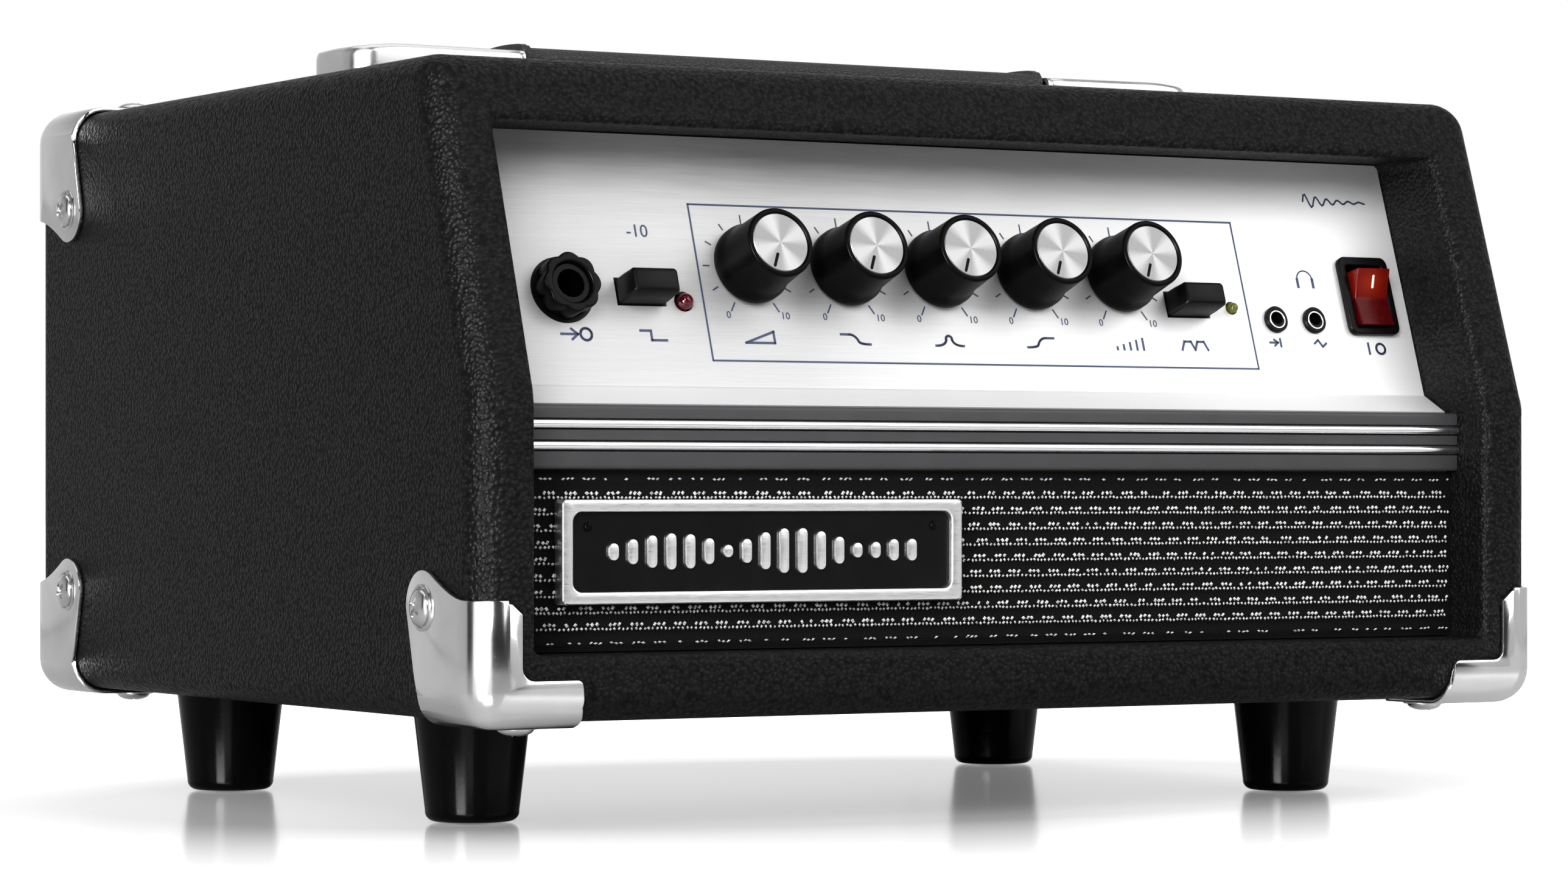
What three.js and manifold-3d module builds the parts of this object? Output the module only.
// Compact guitar amplifier head: a vinyl-covered plywood cabinet with a sloping front, a recessed
// control panel, a cloth grille, metal corners, a strap handle and the electronics behind them.
// Millimetres, +Z up, the front faces -Y, the origin is on the ground under the cabinet's centre.

import * as THREE from 'three';
import { mergeVertices } from 'three/addons/utils/BufferGeometryUtils.js';
import Module from 'manifold-3d';

const wasm = await Module();
wasm.setup();

// ---------------------------------------------------------------- driving dimensions

const GAP = 0.3; // air left between pieces that touch

const cabinet = {
  width: 305,
  depth: 267,
  footHeight: 26.3,
  height: 155,
  kneeHeight: 74.3, // where the vertical front turns into the slope, above the cabinet's bottom
  setback: 27, // how far the slope carries the top's front edge back
  board: 15.5,
  edgeRadius: 7.5,
};
const halfWidth = cabinet.width / 2;
const halfDepth = cabinet.depth / 2;
const frontY = -halfDepth;
const floorZ = cabinet.footHeight;
const topZ = floorZ + cabinet.height;
const kneeZ = floorZ + cabinet.kneeHeight;
const slope = Math.atan2(cabinet.setback, topZ - kneeZ);
const innerHalf = halfWidth - cabinet.board;
const innerFloorZ = floorZ + cabinet.board;
const innerTopZ = topZ - cabinet.board;
const fitHalf = innerHalf - GAP; // half the width of what slides in between the side boards

const corner = {
  sheet: 1.2,
  lobeAt: 25.2,
  lobeUp: 26.3,
  lobe: 8.7,
  neckAt: 30,
  neckUp: 11.5,
  shoulderUp: 28.3,
  tab: 27,
  tabHeight: 9.9,
  armWidth: 11,
  armHeight: 27.5,
  fillet: 2.5,
  footWidth: 31,
  footDepth: 33,
  footRadius: 6,
  margin: 3, // how far the outlines run past the corner itself
};
const screw = { radius: 4.4, height: 2.2, sink: 0.4, rim: 0.5, underInset: 20 };
const foot = {
  height: 26,
  topRadius: 14.3,
  bottomRadius: 11.3,
  inX: 31.4,
  inFront: 64.8,
  inRear: 59.1,
  edge: 2,
};
const handleY = -3;
const strap = { half: 79.4, width: 24, thick: 5, top: 11.9, radius: 2 };
const tongue = { half: 92, width: 21, top: 8.9 }; // the strap's thin ends, inside the caps
const cap = {
  inner: 79.8,
  outer: 127.9,
  width: 28,
  height: 10.4,
  mouthDrop: 0.3,
  endHeight: 9.4,
  endRound: 1.6,
  wall: 1.2,
  tail: 12,
  radius: 7,
};

const grille = { inset: 14.3, cloth: 1.5, baffle: 12, topZ: 84.2, baffleTopZ: 95 };
const grilleY = frontY + grille.inset;
const moulding = { bottomZ: 84.6, topZ: 99.5, proud: 3.8, grooveDepth: 1 };
const strips = { upper: 95.05, lower: 90, radius: 1.05 };
const badge = {
  centreX: -70.8,
  centreZ: 65.3,
  width: 109.4,
  height: 24.4,
  thick: 4.5,
  border: 2.6,
  field: 1.6,
  outerRadius: 0.8,
  windowRadius: 2.4,
};

// The fold at the foot of the control panel's face, and the front edge of the lip below the fold.
const panel = { footInset: 25.3, footZ: 104.3, length: 64.5, sheet: 2, lipInset: 16.6, lipZ: 99.9 };
const controlRow = 31; // height of the knob row above the fold, along the panel
const lowRow = 23.8; // height of the buttons and the input socket

const knob = { pitch: 27, firstX: -61.5, baseRadius: 10, topRadius: 8.8, height: 16, clear: 0.9, rim: 1.2 };
const knobShape = { skirt: 2.5, taperEnd: 6, flare: 0.4, recess: 0.5 };
const shaft = { radius: 3, reach: 9, play: 0.25, endPlay: 0.6 };
const pot = { radius: 8.4, depth: 9, bushRadius: 4.4, bushLength: 3.4, back: 3.2 };
const button = { width: 12.6, height: 6.4, proud: 9, back: 4, clear: 0.35, radius: 0.8 };
const buttonSwitch = { width: 15, height: 10, depth: 9, front: 8 };
const lamp = { tail: 6, proud: 0.8 };
const input = {
  x: -113.5,
  nutRadius: 7.6,
  nutHeight: 6,
  bush: 4.9,
  bore: 3.6,
  body: 17,
  depth: 24,
  step: 1.2,
};
const scallop = { count: 8, radius: 1.8, out: 0.9 };
const miniJack = { ring: 3.2, bush: 2.5, proud: 1.2, bore: 1.8, body: 9, depth: 12 };
const rocker = {
  x: 124,
  v: 27,
  width: 15.8,
  length: 21.4,
  radius: 1.6,
  proud: 1.8,
  tilt: 10,
  pivot: -3,
};
const rockerWell = {
  cutX: 6.9,
  cutV: 9.9,
  outerX: 6.6,
  outerV: 9.6,
  innerX: 6.1,
  innerV: 9.1,
  depth: 14,
  floor: 6,
};
const rockerKey = { width: 11.6, half: 8.3, centre: 1.5, shoulder: 3, foot: 0.6, tip: 0.2 };
const seat = 0.2; // air under a nut, ring or bezel that sits on the panel

const rear = { inset: 14, sheet: 1.5 };
const rearY = halfDepth - rear.inset;
const socketBack = {
  bush: 4.9,
  bore: 3.4,
  nut: 7,
  body: 16,
  depth: 22,
  z: 66,
  nutHeight: 3,
  proud: 4,
  wall: 2,
};
const inlet = {
  x: -104,
  z: 70,
  flangeW: 31,
  flangeH: 24.5,
  flange: 2.6,
  radius: 2.5,
  depth: 18,
  body: 22,
};
const inletMouth = {
  width: 24.4,
  height: 16.6,
  chop: 4.5,
  bodyW: 27.4,
  bodyH: 20.4,
  cutW: 28,
  cutH: 21,
};
const inletPin = {
  width: 2,
  height: 4,
  recess: 5.2,
  places: [[-7, -1.5], [0, 2.5], [7, -1.5]],
};
const fan = { x: 66, z: 76, size: 60, depth: 15, bore: 28, hub: 13, bladeTip: 26.6, blades: 7, radius: 4 };
const spider = { arms: 3, width: 3, thick: 2, start: 30 };
const blade = { root: 2, thick: 1.6, chord: 9.2, pitch: 0.7 };
const fanSlots = { rows: 4, pitch: 6, height: 3.2, reach: 26 };
const vents = { count: 12, firstX: -100, pitch: 9, width: 3, bottomZ: 118, topZ: 150 };

const board = { thick: 1.6 };
const tray = { z: 97.6, inset: 30, lip: 14, fanMargin: 1 };
const preamp = { x0: -78, x1: 57, v0: 12, v1: 50 };
const powerAmp = { x0: 8, x1: 130, y0: -80, y1: 96, raise: 5 };
const sink = {
  x0: 22,
  x1: 112,
  y0: -10,
  y1: 92,
  base: 5,
  height: 42,
  fins: 9,
  firstFin: 24,
  pitch: 10.5,
  fin: 2,
};
const transformer = {
  x: -64,
  width: 60,
  depth: 48,
  height: 44,
  coilW: 34,
  coilH: 30,
  coilDepth: 70,
  radius: 6,
};

// ---------------------------------------------------------------- geometry helpers

function solid(geometry) {
  const g = geometry.clone();
  g.deleteAttribute('normal');
  g.deleteAttribute('uv');
  const merged = mergeVertices(g, 1e-5);
  return new wasm.Manifold(new wasm.Mesh({
    numProp: 3,
    vertProperties: new Float32Array(merged.attributes.position.array),
    triVerts: new Uint32Array(merged.index.array),
  }));
}

function geometryOf(body) {
  const mesh = body.getMesh();
  const g = new THREE.BufferGeometry();
  g.setAttribute('position', new THREE.BufferAttribute(mesh.vertProperties, 3));
  g.setIndex(new THREE.BufferAttribute(mesh.triVerts, 1));
  return g;
}

function join(first, ...others) {
  return geometryOf(others.reduce((sum, g) => sum.add(solid(g)), solid(first)));
}

function cut(first, ...others) {
  return geometryOf(others.reduce((rest, g) => rest.subtract(solid(g)), solid(first)));
}

function common(first, ...others) {
  return geometryOf(others.reduce((both, g) => both.intersect(solid(g)), solid(first)));
}

function block(x0, x1, y0, y1, z0, z1) {
  const g = new THREE.BoxGeometry(x1 - x0, y1 - y0, z1 - z0);
  return g.translate((x0 + x1) / 2, (y0 + y1) / 2, (z0 + z1) / 2);
}

// A round bar or plug about Z, from z0 up to z1.
function drum(radius, z0, z1, sides = 24) {
  const g = new THREE.CylinderGeometry(radius, radius, z1 - z0, sides);
  return g.rotateX(Math.PI / 2).translate(0, 0, (z0 + z1) / 2);
}

// A block of the given size, centred on X and Y, from z0 up to z1.
function slab(width, height, z0, z1) {
  return block(-width / 2, width / 2, -height / 2, height / 2, z0, z1);
}

// A turned body about Z from [radius, z] pairs, which start and end on the axis.
function turned(profile, sides = 24) {
  const points = profile.map(([r, z]) => new THREE.Vector2(r, z));
  return new THREE.LatheGeometry(points, sides).rotateX(Math.PI / 2);
}

function shapeOf(points) {
  return new THREE.Shape(points.map(([u, v]) => new THREE.Vector2(u, v)));
}

// An outline in (y, z), extruded along X from x0 to x1.
function prismX(shape, x0, x1, extra = {}) {
  const g = new THREE.ExtrudeGeometry(shape, { depth: x1 - x0, bevelEnabled: false, ...extra });
  const toYZ = new THREE.Matrix4().set(0, 0, 1, 0, 1, 0, 0, 0, 0, 1, 0, 0, 0, 0, 0, 1);
  return g.applyMatrix4(toYZ).translate(x0, 0, 0);
}

// An outline in (x, z), extruded along Y from y0 to y1.
function prismY(shape, y0, y1) {
  const g = new THREE.ExtrudeGeometry(shape, { depth: y1 - y0, bevelEnabled: false, curveSegments: 5 });
  return g.rotateX(Math.PI / 2).translate(0, y1, 0);
}

// An outline in (x, y), extruded along Z from z0 to z1.
function prismZ(shape, z0, z1) {
  const g = new THREE.ExtrudeGeometry(shape, { depth: z1 - z0, bevelEnabled: false, curveSegments: 5 });
  return g.translate(0, 0, z0);
}

function roundedRect(cx, cy, width, height, radius) {
  const s = new THREE.Shape();
  const x0 = cx - width / 2;
  const x1 = cx + width / 2;
  const y0 = cy - height / 2;
  const y1 = cy + height / 2;
  s.moveTo(x0 + radius, y0);
  s.lineTo(x1 - radius, y0);
  s.absarc(x1 - radius, y0 + radius, radius, -Math.PI / 2, 0);
  s.lineTo(x1, y1 - radius);
  s.absarc(x1 - radius, y1 - radius, radius, 0, Math.PI / 2);
  s.lineTo(x0 + radius, y1);
  s.absarc(x0 + radius, y1 - radius, radius, Math.PI / 2, Math.PI);
  s.lineTo(x0, y0 + radius);
  s.absarc(x0 + radius, y0 + radius, radius, Math.PI, Math.PI * 1.5);
  return s;
}

// The cabinet's outside as one solid with rounded edges, `grow` mm larger all round: a small outline
// that the extrusion's bevel opens out by the edge radius.
function envelope(grow) {
  const radius = cabinet.edgeRadius;
  const kneeTurn = radius * Math.tan(slope / 2);
  const topTurn = radius * Math.tan((Math.PI / 2 - slope) / 2);
  const outline = shapeOf([
    [frontY + radius, floorZ + radius],
    [halfDepth - radius, floorZ + radius],
    [halfDepth - radius, topZ - radius],
    [frontY + cabinet.setback + topTurn, topZ - radius],
    [frontY + radius, kneeZ + kneeTurn],
  ]);
  const reach = radius + grow;
  return prismX(blunted(outline.getPoints(), 0.6), -halfWidth + radius, halfWidth - radius, {
    bevelEnabled: true,
    bevelThickness: reach,
    bevelSize: reach,
    bevelSegments: 3,
  });
}

// An outline with each point replaced by a short arc, so that a bevel opens it into a full round.
function blunted(points, radius) {
  const s = new THREE.Shape();
  const count = points.length;
  points.forEach((point, i) => {
    const before = points[(i + count - 1) % count].clone().sub(point).setLength(radius).add(point);
    const after = points[(i + 1) % count].clone().sub(point).setLength(radius).add(point);
    if (i === 0) {
      s.moveTo(before.x, before.y);
    } else {
      s.lineTo(before.x, before.y);
    }
    s.quadraticCurveTo(point.x, point.y, after.x, after.y);
  });
  return new THREE.Shape(s.getPoints(3));
}

// ---------------------------------------------------------------- scene graph helpers

const amp = new THREE.Group();

const finishes = {
  vinyl: { color: 0x1b1b1c, roughness: 0.7, metalness: 0 },
  cloth: { color: 0x2a2a2a, roughness: 0.8, metalness: 0 },
  wood: { color: 0x5b4630, roughness: 0.9, metalness: 0 },
  aluminium: { color: 0xdcdcdc, roughness: 0.35, metalness: 1 },
  chrome: { color: 0xcfcfcf, roughness: 0.12, metalness: 1 },
  blackPlastic: { color: 0x121212, roughness: 0.3, metalness: 0 },
  mattePlastic: { color: 0x1a1a1a, roughness: 0.6, metalness: 0 },
  greyPlastic: { color: 0x5f5f5f, roughness: 0.45, metalness: 0 },
  redPlastic: { color: 0xa81208, roughness: 0.2, metalness: 0 },
  redLamp: { color: 0x5a0410, roughness: 0.15, metalness: 0 },
  greenLamp: { color: 0x9aa83a, roughness: 0.15, metalness: 0 },
  blackSteel: { color: 0x18181a, roughness: 0.5, metalness: 0.4 },
  steel: { color: 0xa8aaac, roughness: 0.4, metalness: 1 },
  circuitBoard: { color: 0x1d4a2c, roughness: 0.5, metalness: 0 },
};

function add(parent, name, geometry, finish, x = 0, y = 0, z = 0) {
  const mesh = new THREE.Mesh(geometry, new THREE.MeshStandardMaterial(finishes[finish]));
  mesh.name = name;
  mesh.position.set(x, y, z);
  parent.add(mesh);
  return mesh;
}

// ---------------------------------------------------------------- cabinet

function addCabinet() {
  const body = envelope(0);
  const zones = {
    left_side_board: [-halfWidth, -innerHalf, floorZ, topZ],
    right_side_board: [innerHalf, halfWidth, floorZ, topZ],
    top_board: [-fitHalf, fitHalf, innerTopZ, topZ],
    bottom_board: [-fitHalf, fitHalf, floorZ, innerFloorZ],
  };
  for (const [name, [x0, x1, z0, z1]] of Object.entries(zones)) {
    add(amp, name, common(body, block(x0, x1, frontY, halfDepth, z0, z1)), 'vinyl');
  }
}

// ---------------------------------------------------------------- metal corners

// A pan-head screw about Z, its seat at z = 0.
function screwHead() {
  const { radius, height, sink: sunk, rim } = screw;
  return turned([[0, -sunk], [radius, -sunk], [radius, rim], [radius * 0.7, height * 0.85], [0, height]], 12);
}

// Outlines of the left front bottom corner, measured from the cabinet's own corner: first the plate
// on the side board, in (back, up), then the one on the front, in (across, up).
function sideOutline() {
  const { lobeAt, lobeUp, lobe, neckAt, neckUp, shoulderUp, margin } = corner;
  const end = Math.PI * 0.65;
  const s = new THREE.Shape();
  s.moveTo(-margin, -margin);
  s.lineTo(neckAt / 2, -margin);
  s.quadraticCurveTo(neckAt - 3, 1, neckAt, neckUp);
  s.lineTo(lobeAt + lobe, lobeUp);
  s.absarc(lobeAt, lobeUp, lobe, 0, end);
  s.quadraticCurveTo(lobeAt - 1.75 * lobe, shoulderUp, lobeAt - 2.5 * lobe, shoulderUp);
  s.lineTo(-margin, shoulderUp);
  return s;
}

function faceOutline() {
  const { tab, tabHeight, armWidth, armHeight, fillet, margin } = corner;
  const s = new THREE.Shape();
  s.moveTo(-margin, -margin);
  s.lineTo(tab - 5, -margin);
  s.quadraticCurveTo(tab, 1, tab, tabHeight / 2);
  s.lineTo(tab - 0.5, tabHeight - 1.5);
  s.quadraticCurveTo(tab - 0.7, tabHeight, tab - 2, tabHeight);
  s.lineTo(armWidth + fillet, tabHeight);
  s.quadraticCurveTo(armWidth, tabHeight, armWidth, tabHeight + fillet);
  s.lineTo(armWidth, armHeight - fillet);
  s.lineTo(armWidth - fillet, armHeight);
  s.lineTo(-margin, armHeight);
  return s;
}

// The sheet that wraps the left front bottom corner, with its two screws. Its mirror images make the
// other corners.
function cornerSheet() {
  const { sheet, lobeAt, lobeUp, footWidth, footDepth, footRadius, margin } = corner;
  const zone = cabinet.edgeRadius;
  const side = prismX(sideOutline(), -margin, zone, { curveSegments: 5 });
  const face = prismY(faceOutline(), -margin, zone);
  const plan = roundedRect(footWidth / 2, footDepth / 2, footWidth, footDepth, footRadius);
  const under = prismZ(plan, -margin, zone).translate(-margin, -margin, 0);
  const region = join(side, face, under).translate(-halfWidth, frontY, floorZ);
  const shell = cut(common(envelope(GAP + sheet), region), envelope(GAP));
  const proud = GAP + sheet;
  const sideScrew = screwHead().rotateY(-Math.PI / 2);
  sideScrew.translate(-halfWidth - proud, frontY + lobeAt, floorZ + lobeUp);
  const underScrew = screwHead().rotateX(Math.PI);
  underScrew.translate(-halfWidth + screw.underInset, frontY + screw.underInset, floorZ - proud);
  return join(shell, sideScrew, underScrew);
}

function mirrored(geometry, x, y, z, midZ) {
  const g = geometry.clone();
  const m = new THREE.Matrix4().makeScale(x, y, z).setPosition(0, 0, z < 0 ? 2 * midZ : 0);
  g.applyMatrix4(m);
  if (x * y * z < 0) {
    const index = g.index.array;
    for (let i = 0; i < index.length; i += 3) {
      [index[i], index[i + 1]] = [index[i + 1], index[i]];
    }
  }
  return g;
}

function addCorners() {
  const sheet = cornerSheet();
  const midZ = (floorZ + topZ) / 2;
  add(amp, 'corner_front_left', sheet, 'chrome');
  add(amp, 'corner_front_right', mirrored(sheet, -1, 1, 1, midZ), 'chrome');
  add(amp, 'corner_rear_left', mirrored(sheet, 1, -1, 1, midZ), 'chrome');
  add(amp, 'corner_rear_right', mirrored(sheet, -1, -1, 1, midZ), 'chrome');
  add(amp, 'corner_top_left', mirrored(sheet, 1, -1, -1, midZ), 'chrome');
  add(amp, 'corner_top_right', mirrored(sheet, -1, -1, -1, midZ), 'chrome');
}

// ---------------------------------------------------------------- feet and handle

function addFeet() {
  const { height, topRadius, bottomRadius, edge, inX, inFront, inRear } = foot;
  const profile = [
    [0, 0],
    [bottomRadius - edge, 0],
    [bottomRadius - edge * 0.3, edge * 0.3],
    [bottomRadius, edge],
    [topRadius, height],
    [0, height],
  ];
  for (const [row, y] of [['front', frontY + inFront], ['rear', halfDepth - inRear]]) {
    for (const [side, x] of [['left', inX - halfWidth], ['right', halfWidth - inX]]) {
      add(amp, `foot_${row}_${side}`, turned(profile, 28), 'blackPlastic', x, y, 0);
    }
  }
}

// The right-hand stirrup that holds an end of the strap: a pressed cap, hollow towards the strap.
function handleCap() {
  const { inner, outer, width, height, mouthDrop, endHeight, endRound, wall, tail, radius } = cap;
  const half = width / 2;
  const hollowHalf = half - wall;
  const dome = (shrink) => {
    const s = new THREE.Shape();
    s.moveTo(inner, 0);
    s.lineTo(outer - shrink, 0);
    s.lineTo(outer - shrink, endHeight - endRound - shrink);
    s.quadraticCurveTo(outer - shrink, endHeight - shrink, outer - shrink - 2 * endRound, endHeight - shrink);
    s.lineTo(outer - tail, height - shrink);
    s.lineTo(inner, height - mouthDrop - shrink);
    return s;
  };
  const outside = prismY(dome(0), -half, half);
  const planLength = outer - inner + 2 * radius; // runs past the mouth, so that only the far end is round
  const plan = prismZ(roundedRect(outer - planLength / 2, 0, planLength, width, radius), 0, height);
  const hollow = prismY(dome(wall), -hollowHalf, hollowHalf).translate(-0.01, 0, -0.01);
  const throat = block(inner - 1, outer - tail, -hollowHalf, hollowHalf, -1, height);
  return cut(common(outside, plan), common(hollow, throat));
}

function addHandle() {
  const top = strap.top;
  const bandPlan = roundedRect(0, 0, 2 * strap.half, strap.width, strap.radius);
  const band = prismZ(bandPlan, top - strap.thick, top);
  const ends = slab(2 * tongue.half, tongue.width, top - strap.thick, tongue.top);
  add(amp, 'handle_strap', join(band, ends), 'mattePlastic', 0, handleY, topZ);
  add(amp, 'handle_cap_left', mirrored(handleCap(), -1, 1, 1, 0), 'steel', 0, handleY, topZ + GAP);
  add(amp, 'handle_cap_right', handleCap(), 'steel', 0, handleY, topZ + GAP);
}

// ---------------------------------------------------------------- grille, trim and badge

function addGrille() {
  const clothBack = grilleY + grille.cloth;
  const baffleFront = clothBack + GAP;
  const bottom = innerFloorZ + GAP;
  const cloth = block(-fitHalf, fitHalf, grilleY, clothBack, bottom, grille.topZ);
  const baffleBack = baffleFront + grille.baffle;
  const baffle = block(-fitHalf, fitHalf, baffleFront, baffleBack, bottom, grille.baffleTopZ);
  add(amp, 'grille_cloth', cloth, 'cloth');
  add(amp, 'grille_baffle', baffle, 'wood');
}

function addTrim() {
  const front = grilleY - moulding.proud;
  const back = grilleY + grille.cloth;
  const seatY = front + moulding.grooveDepth;
  const reach = strips.radius + GAP;
  const band = block(-fitHalf, fitHalf, front, back, moulding.bottomZ, moulding.topZ);
  const groove = (z) => block(-halfWidth, halfWidth, front - 1, seatY + GAP, z - reach, z + reach);
  add(amp, 'trim_moulding', cut(band, groove(strips.upper), groove(strips.lower)), 'greyPlastic');
  for (const name of ['upper', 'lower']) {
    const z = strips[name];
    const s = new THREE.Shape();
    s.moveTo(seatY, z - strips.radius);
    s.lineTo(seatY, z + strips.radius);
    s.lineTo(front, z + strips.radius);
    s.absarc(front, z, strips.radius, Math.PI / 2, Math.PI * 1.5);
    add(amp, `trim_strip_${name}`, prismX(s, -fitHalf, fitHalf, { curveSegments: 8 }), 'chrome');
  }
}

function addBadge() {
  const { centreX, centreZ, width, height, thick, border, field, outerRadius, windowRadius } = badge;
  const front = grilleY - thick;
  const back = grilleY - GAP;
  const openW = width - 2 * border;
  const openH = height - 2 * border;
  const rim = prismY(roundedRect(centreX, centreZ, width, height, outerRadius), front, back);
  const window = prismY(roundedRect(centreX, centreZ, openW, openH, windowRadius), front - 1, back + 1);
  const plate = roundedRect(centreX, centreZ, openW - 2 * GAP, openH - 2 * GAP, windowRadius - GAP);
  add(amp, 'badge_frame', cut(rim, window), 'aluminium');
  add(amp, 'badge_plate', prismY(plate, front + field, back), 'blackPlastic');
}

// ---------------------------------------------------------------- control panel and what it carries

// Local frame of the panel: X to the right, Y up along the sheet, Z out of its front face.
const controls = new THREE.Group();
controls.position.set(0, frontY + panel.footInset, panel.footZ);
controls.rotation.x = Math.PI / 2 - slope;
amp.add(controls);

const knobNames = ['gain', 'low', 'mid', 'high', 'level'];
const knobXs = knobNames.map((_, i) => knob.firstX + i * knob.pitch);
const buttons = [
  { name: 'pad', x: -92.5, lampX: -81, lampV: 21.6, lampRadius: 2.3, lampFinish: 'redLamp' },
  { name: 'limiter', x: 66.4, lampX: 80.2, lampV: 23.2, lampRadius: 1.5, lampFinish: 'greenLamp' },
];
const miniJacks = [
  { name: 'line_in_jack', x: 93.2, v: 20.4 },
  { name: 'phones_jack', x: 105.4, v: 20.4 },
];

// A round hole through the panel's sheet.
function punch(radius, x, v, sides = 24) {
  return drum(radius, -2 * panel.sheet, panel.sheet, sides).translate(x, v, 0);
}

// A rectangular hole through the panel's sheet, from its half width and half height.
function window(halfX, halfV, x, v) {
  return slab(2 * halfX, 2 * halfV, -2 * panel.sheet, panel.sheet).translate(x, v, 0);
}

function addControlPanel() {
  const { sheet, length, footInset, footZ, lipInset, lipZ } = panel;
  const lip = new THREE.Vector2(lipInset - footInset, lipZ - footZ);
  lip.rotateAround(new THREE.Vector2(0, 0), slope);
  const mitre = 0.6 * sheet;
  // Section in (up the sheet, out of it), from the fold to the top, with the lip turned forward.
  const section = shapeOf([
    [lip.y, -lip.x],
    [0, 0],
    [length, 0],
    [length, -sheet],
    [-mitre, -sheet],
    [lip.y - mitre, -lip.x - 0.8 * sheet],
  ]);
  const keyX = button.width / 2 + button.clear;
  const keyV = button.height / 2 + button.clear;
  const holes = [
    ...knobXs.map((x) => punch(pot.bushRadius + GAP, x, controlRow)),
    ...buttons.map((b) => window(keyX, keyV, b.x, lowRow)),
    ...buttons.map((b) => punch(b.lampRadius + GAP, b.lampX, b.lampV, 16)),
    ...miniJacks.map((j) => punch(miniJack.bush + GAP, j.x, j.v, 16)),
    punch(input.bush + GAP, input.x, lowRow),
    window(rockerWell.cutX, rockerWell.cutV, rocker.x, rocker.v),
  ];
  add(controls, 'control_panel', cut(prismX(section, -fitHalf, fitHalf), ...holes), 'aluminium');
}

function addKnobs() {
  const { baseRadius, topRadius, height, clear, rim } = knob;
  const { skirt, taperEnd, flare, recess } = knobShape;
  const rise = clear + height;
  const profile = [
    [0, -shaft.reach],
    [shaft.radius, -shaft.reach],
    [shaft.radius, clear],
    [baseRadius, clear],
    [baseRadius, clear + skirt],
    [topRadius + flare, clear + taperEnd],
    [topRadius, rise - flare],
    [topRadius - flare, rise],
    [topRadius - rim, rise],
    [topRadius - rim, rise - recess],
    [0, rise - recess],
  ];
  const { radius, depth, bushRadius, bushLength, back } = pot;
  const bore = shaft.radius + shaft.play;
  const boreEnd = -shaft.reach - shaft.endPlay;
  const potProfile = [
    [0, -back - depth],
    [radius, -back - depth],
    [radius, -back],
    [bushRadius, -back],
    [bushRadius, bushLength - back],
    [bore, bushLength - back],
    [bore, boreEnd],
    [0, boreEnd],
  ];
  knobNames.forEach((name, i) => {
    add(controls, `knob_${name}`, turned(profile, 24), 'blackPlastic', knobXs[i], controlRow, 0);
    add(controls, `pot_${name}`, turned(potProfile, 16), 'steel', knobXs[i], controlRow, 0);
  });
}

// A round lens about Z with a domed end.
function lens(radius) {
  const { tail, proud } = lamp;
  const dome = [0, 1, 2].map((i) => {
    const a = (i * Math.PI) / 6;
    return [radius * Math.cos(a), proud + radius * Math.sin(a)];
  });
  return turned([[0, -tail], [radius, -tail], ...dome, [0, proud + radius]], 16);
}

function addButtons() {
  const plan = roundedRect(0, 0, button.width, button.height, button.radius);
  const { width, height, depth, front } = buttonSwitch;
  for (const b of buttons) {
    const body = slab(width, height, -front - depth, -front);
    const key = prismZ(plan, -button.back, button.proud);
    add(controls, `${b.name}_button`, key, 'mattePlastic', b.x, lowRow, 0);
    add(controls, `${b.name}_switch`, body, 'greyPlastic', b.x, lowRow, 0);
    add(controls, `${b.name}_lamp`, lens(b.lampRadius), b.lampFinish, b.lampX, b.lampV, 0);
  }
}

// A round nut about Z with shallow scallops round its rim, open for the bush.
function lobedNut(radius, hole, height) {
  const scallops = Array.from({ length: scallop.count }, (_, i) => {
    const a = ((i + 0.5) * 2 * Math.PI) / scallop.count;
    const reach = radius + scallop.out;
    return drum(scallop.radius, -1, height + 1, 8).translate(Math.cos(a) * reach, Math.sin(a) * reach, 0);
  });
  return cut(drum(radius, seat, height, 32), drum(hole, -1, height + 1, 20), ...scallops);
}

function addInputJack() {
  const { x, bush, bore, body, depth, nutHeight, nutRadius, step } = input;
  const back = -panel.sheet - GAP;
  const outside = join(slab(body, body, back - depth, back), drum(bush, back - 1, nutHeight - step, 20));
  const socket = cut(outside, drum(bore, panel.sheet - depth, nutHeight + 1, 16));
  add(controls, 'input_jack', socket, 'blackPlastic', x, lowRow, 0);
  add(controls, 'input_jack_nut', lobedNut(nutRadius, bush + GAP, nutHeight), 'blackPlastic', x, lowRow, 0);
}

function addMiniJacks() {
  const { ring, bush, proud, bore, body, depth } = miniJack;
  const back = -panel.sheet - GAP;
  for (const j of miniJacks) {
    const outside = join(
      slab(body, body, back - depth, back),
      drum(bush, back - 1, proud, 16),
      drum(ring, seat, proud, 24),
    );
    add(controls, j.name, cut(outside, drum(bore, -depth, proud + 1, 12)), 'blackPlastic', j.x, j.v, 0);
  }
}

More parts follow.
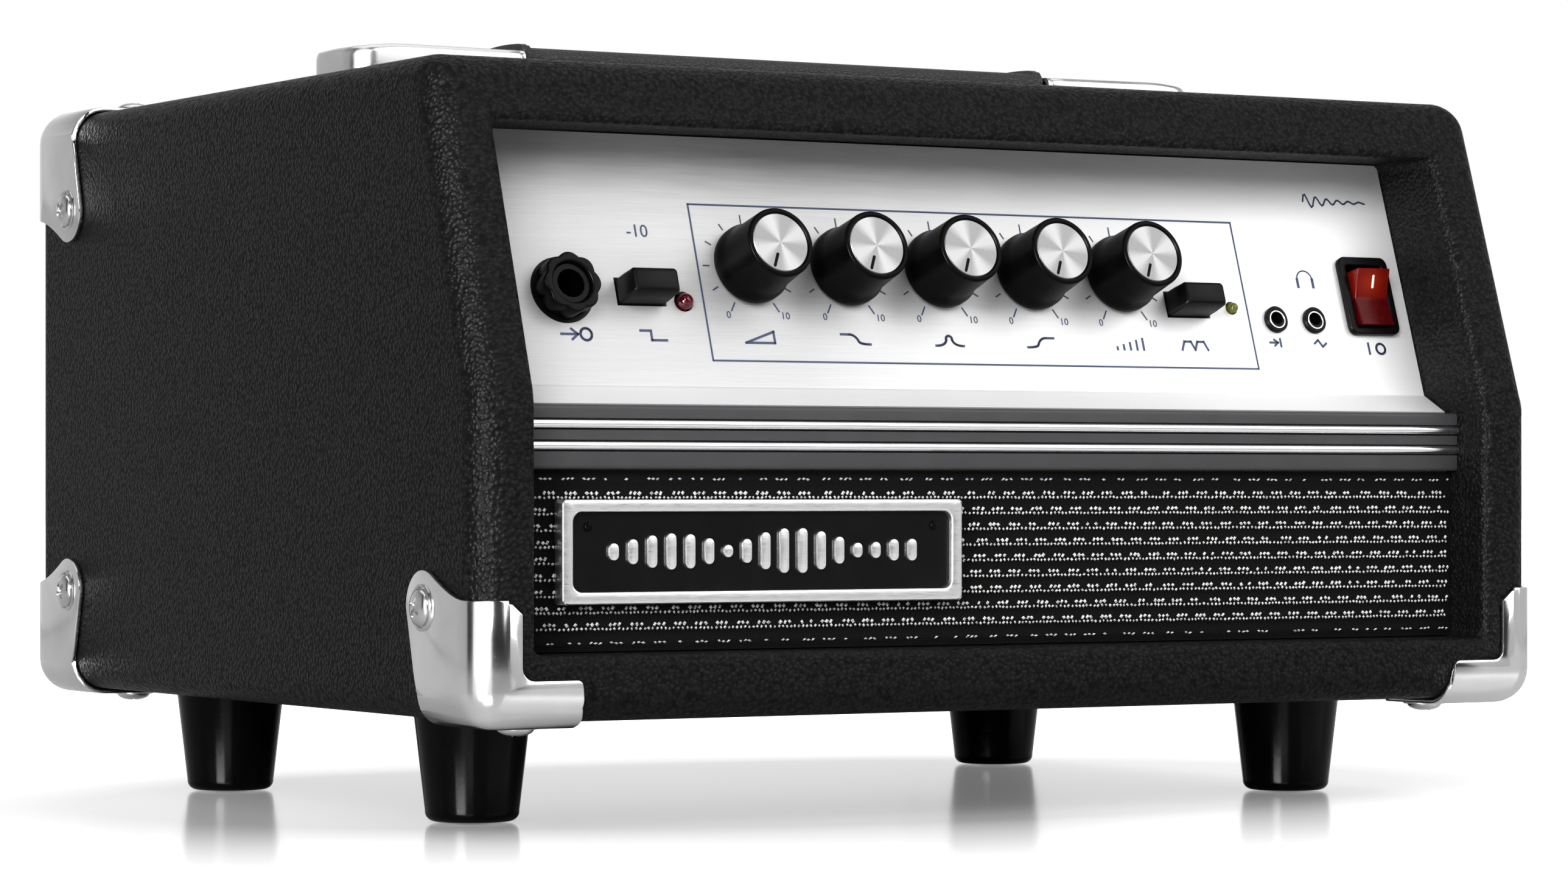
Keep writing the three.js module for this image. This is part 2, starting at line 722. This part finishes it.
function addRocker() {
  const { x, v, width, length, radius, proud, tilt, pivot } = rocker;
  const { outerX, outerV, innerX, innerV, depth, floor } = rockerWell;
  const bezel = prismZ(roundedRect(0, 0, width, length, radius), seat, proud);
  const housing = join(bezel, slab(2 * outerX, 2 * outerV, -depth, 2 * seat));
  const cavity = slab(2 * innerX, 2 * innerV, -floor, proud + 1);
  add(controls, 'rocker_housing', cut(housing, cavity), 'blackPlastic', x, v, 0);
  const { half, centre, width: keyWidth, shoulder, foot: inset, tip } = rockerKey;
  const lean = THREE.MathUtils.degToRad(tilt);
  const tipZ = centre + half * Math.tan(lean) - pivot;
  const section = shapeOf([
    [inset - half, 0],
    [half - inset, 0],
    [half - inset, shoulder],
    [half - tip, tipZ],
    [0, centre - pivot],
    [tip - half, tipZ],
    [inset - half, shoulder],
  ]);
  const key = prismX(section, -keyWidth / 2, keyWidth / 2);
  const mesh = add(controls, 'power_rocker', key, 'redPlastic', x, v, pivot);
  mesh.rotation.x = lean;
}

// ---------------------------------------------------------------- rear panel

const rearSockets = [
  { name: 'speaker_jack_a', x: 2 },
  { name: 'speaker_jack_b', x: -24 },
  { name: 'line_out_jack', x: -50 },
];

// A slot through the rear panel's sheet.
function rearSlot(x0, x1, z0, z1) {
  return block(x0, x1, rearY - 1, rearY + rear.sheet + 1, z0, z1);
}

function addRearPanel() {
  const { sheet } = rear;
  const plate = block(-fitHalf, fitHalf, rearY, rearY + sheet, innerFloorZ + GAP, innerTopZ - GAP);
  const slots = [];
  const { rows, pitch, height, reach } = fanSlots;
  for (let row = -rows; row <= rows; row += 1) {
    const half = Math.sqrt(reach ** 2 - (row * pitch) ** 2);
    const z = fan.z + row * pitch;
    slots.push(rearSlot(fan.x - half, fan.x + half, z - height / 2, z + height / 2));
  }
  for (let i = 0; i < vents.count; i += 1) {
    const x = vents.firstX + i * vents.pitch;
    slots.push(rearSlot(x, x + vents.width, vents.bottomZ, vents.topZ));
  }
  const { cutW, cutH } = inletMouth;
  slots.push(rearSlot(inlet.x - cutW / 2, inlet.x + cutW / 2, inlet.z - cutH / 2, inlet.z + cutH / 2));
  const hole = drum(socketBack.bush + GAP, -2 * sheet, 2 * sheet, 20).rotateX(Math.PI / 2);
  const holes = rearSockets.map((s) => hole.clone().translate(s.x, rearY, socketBack.z));
  add(amp, 'rear_panel', cut(plate, ...slots, ...holes), 'blackSteel');
}

// Z of a rear fitting's own frame points out of the cabinet's back.
function addRearFitting(name, geometry, finish, x, y, z) {
  const mesh = add(amp, name, geometry, finish, x, y, z);
  mesh.rotation.x = -Math.PI / 2;
}

function addRearSockets() {
  const { bush, bore, nut, body, depth, z, nutHeight, proud, wall } = socketBack;
  const face = rear.sheet;
  for (const s of rearSockets) {
    const outside = join(
      slab(body, body, -depth - GAP, -GAP),
      drum(bush, -1, face + proud, 20),
      drum(nut, face + GAP, face + nutHeight, 6),
    );
    const socket = cut(outside, drum(bore, wall - depth, face + proud + 1, 16));
    addRearFitting(s.name, socket, 'blackPlastic', s.x, rearY, z);
  }
}

function addInlet() {
  const { x, z, flangeW, flangeH, flange, radius, depth, body } = inlet;
  const { width, height, chop, bodyW, bodyH } = inletMouth;
  const face = rear.sheet + flange;
  const shell = join(
    prismZ(roundedRect(0, 0, flangeW, flangeH, radius), rear.sheet + GAP, face),
    slab(bodyW, bodyH, -body, rear.sheet + 1),
  );
  const mouth = shapeOf([
    [-width / 2, -height / 2],
    [width / 2, -height / 2],
    [width / 2, height / 2 - chop],
    [width / 2 - chop, height / 2],
    [chop - width / 2, height / 2],
    [-width / 2, height / 2 - chop],
  ]);
  const hollow = cut(shell, prismZ(mouth, face - depth, face + 1));
  const pin = slab(inletPin.width, inletPin.height, face - depth - 1, face - inletPin.recess);
  const pins = inletPin.places.map(([px, py]) => pin.clone().translate(px, py, 0));
  addRearFitting('mains_inlet', join(hollow, ...pins), 'blackPlastic', x, rearY, z);
}

function addFan() {
  const { x, z, size, depth, bore, hub, bladeTip, blades, radius } = fan;
  const arms = Array.from({ length: spider.arms }, (_, i) => {
    const arm = block(0, bore + 1, -spider.width / 2, spider.width / 2, -depth, spider.thick - depth);
    return arm.rotateZ(THREE.MathUtils.degToRad(spider.start + (i * 360) / spider.arms));
  });
  const ring = cut(prismZ(roundedRect(0, 0, size, size, radius), -depth, 0), drum(bore, -depth - 1, 1, 40));
  const frame = join(ring, drum(hub, -depth, spider.thick - depth, 24), ...arms);
  addRearFitting('fan_frame', frame, 'mattePlastic', x, rearY - GAP, z);
  const { root, thick, chord, pitch } = blade;
  const paddles = Array.from({ length: blades }, (_, i) => {
    const paddle = block(hub - root, bladeTip, -thick / 2, thick / 2, -chord / 2, chord / 2);
    return paddle.rotateX(pitch).translate(0, 0, 1 - depth / 2).rotateZ((i * 2 * Math.PI) / blades);
  });
  const rotorBack = spider.thick + 2 * GAP - depth;
  const rotor = join(drum(hub, rotorBack, -thick / 2, 28), ...paddles);
  addRearFitting('fan_rotor', rotor, 'mattePlastic', x, rearY - GAP, z);
}

// ---------------------------------------------------------------- chassis and electronics

function addTray() {
  const { z, inset, lip, fanMargin } = tray;
  const top = z + rear.sheet;
  const back = rearY - GAP;
  const folded = join(
    block(-fitHalf, fitHalf, frontY + inset, back, z, top),
    block(-fitHalf, fitHalf, back - rear.sheet, back, z, z + lip),
  );
  const half = fan.size / 2 + fanMargin;
  const fanRoom = block(fan.x - half, fan.x + half, rearY - fan.depth - fanMargin, rearY + 1, z - 1, topZ);
  add(amp, 'chassis_tray', cut(folded, fanRoom), 'steel');
}

function addBoards() {
  const preampZ = -pot.back - pot.depth - GAP;
  const front = block(preamp.x0, preamp.x1, preamp.v0, preamp.v1, preampZ - board.thick, preampZ);
  add(controls, 'preamp_board', front, 'circuitBoard');
  const { x0, x1, y0, y1, raise } = powerAmp;
  const z = innerFloorZ + raise;
  add(amp, 'power_amp_board', block(x0, x1, y0, y1, z, z + board.thick), 'circuitBoard');
}

function addHeatsink() {
  const { x0, x1, y0, y1, base, height, fins, firstFin, pitch, fin } = sink;
  const z = innerFloorZ + powerAmp.raise + board.thick + GAP;
  const blades = Array.from({ length: fins }, (_, i) => {
    const x = firstFin + i * pitch;
    return block(x, x + fin, y0, y1, z + base / 2, z + height);
  });
  add(amp, 'heatsink', join(block(x0, x1, y0, y1, z, z + base), ...blades), 'aluminium');
}

function addTransformer() {
  const { x, width, depth, height, coilW, coilH, coilDepth, radius } = transformer;
  const z = innerFloorZ + GAP;
  const core = slab(width, depth, z, z + height).translate(x, 0, 0);
  const coil = prismY(roundedRect(x, z + height / 2, coilW, coilH, radius), -coilDepth / 2, coilDepth / 2);
  add(amp, 'power_transformer', join(core, coil), 'steel');
}

addCabinet();
addCorners();
addFeet();
addHandle();
addGrille();
addTrim();
addBadge();
addControlPanel();
addKnobs();
addButtons();
addInputJack();
addMiniJacks();
addRocker();
addRearPanel();
addRearSockets();
addInlet();
addFan();
addTray();
addBoards();
addHeatsink();
addTransformer();

export default amp;
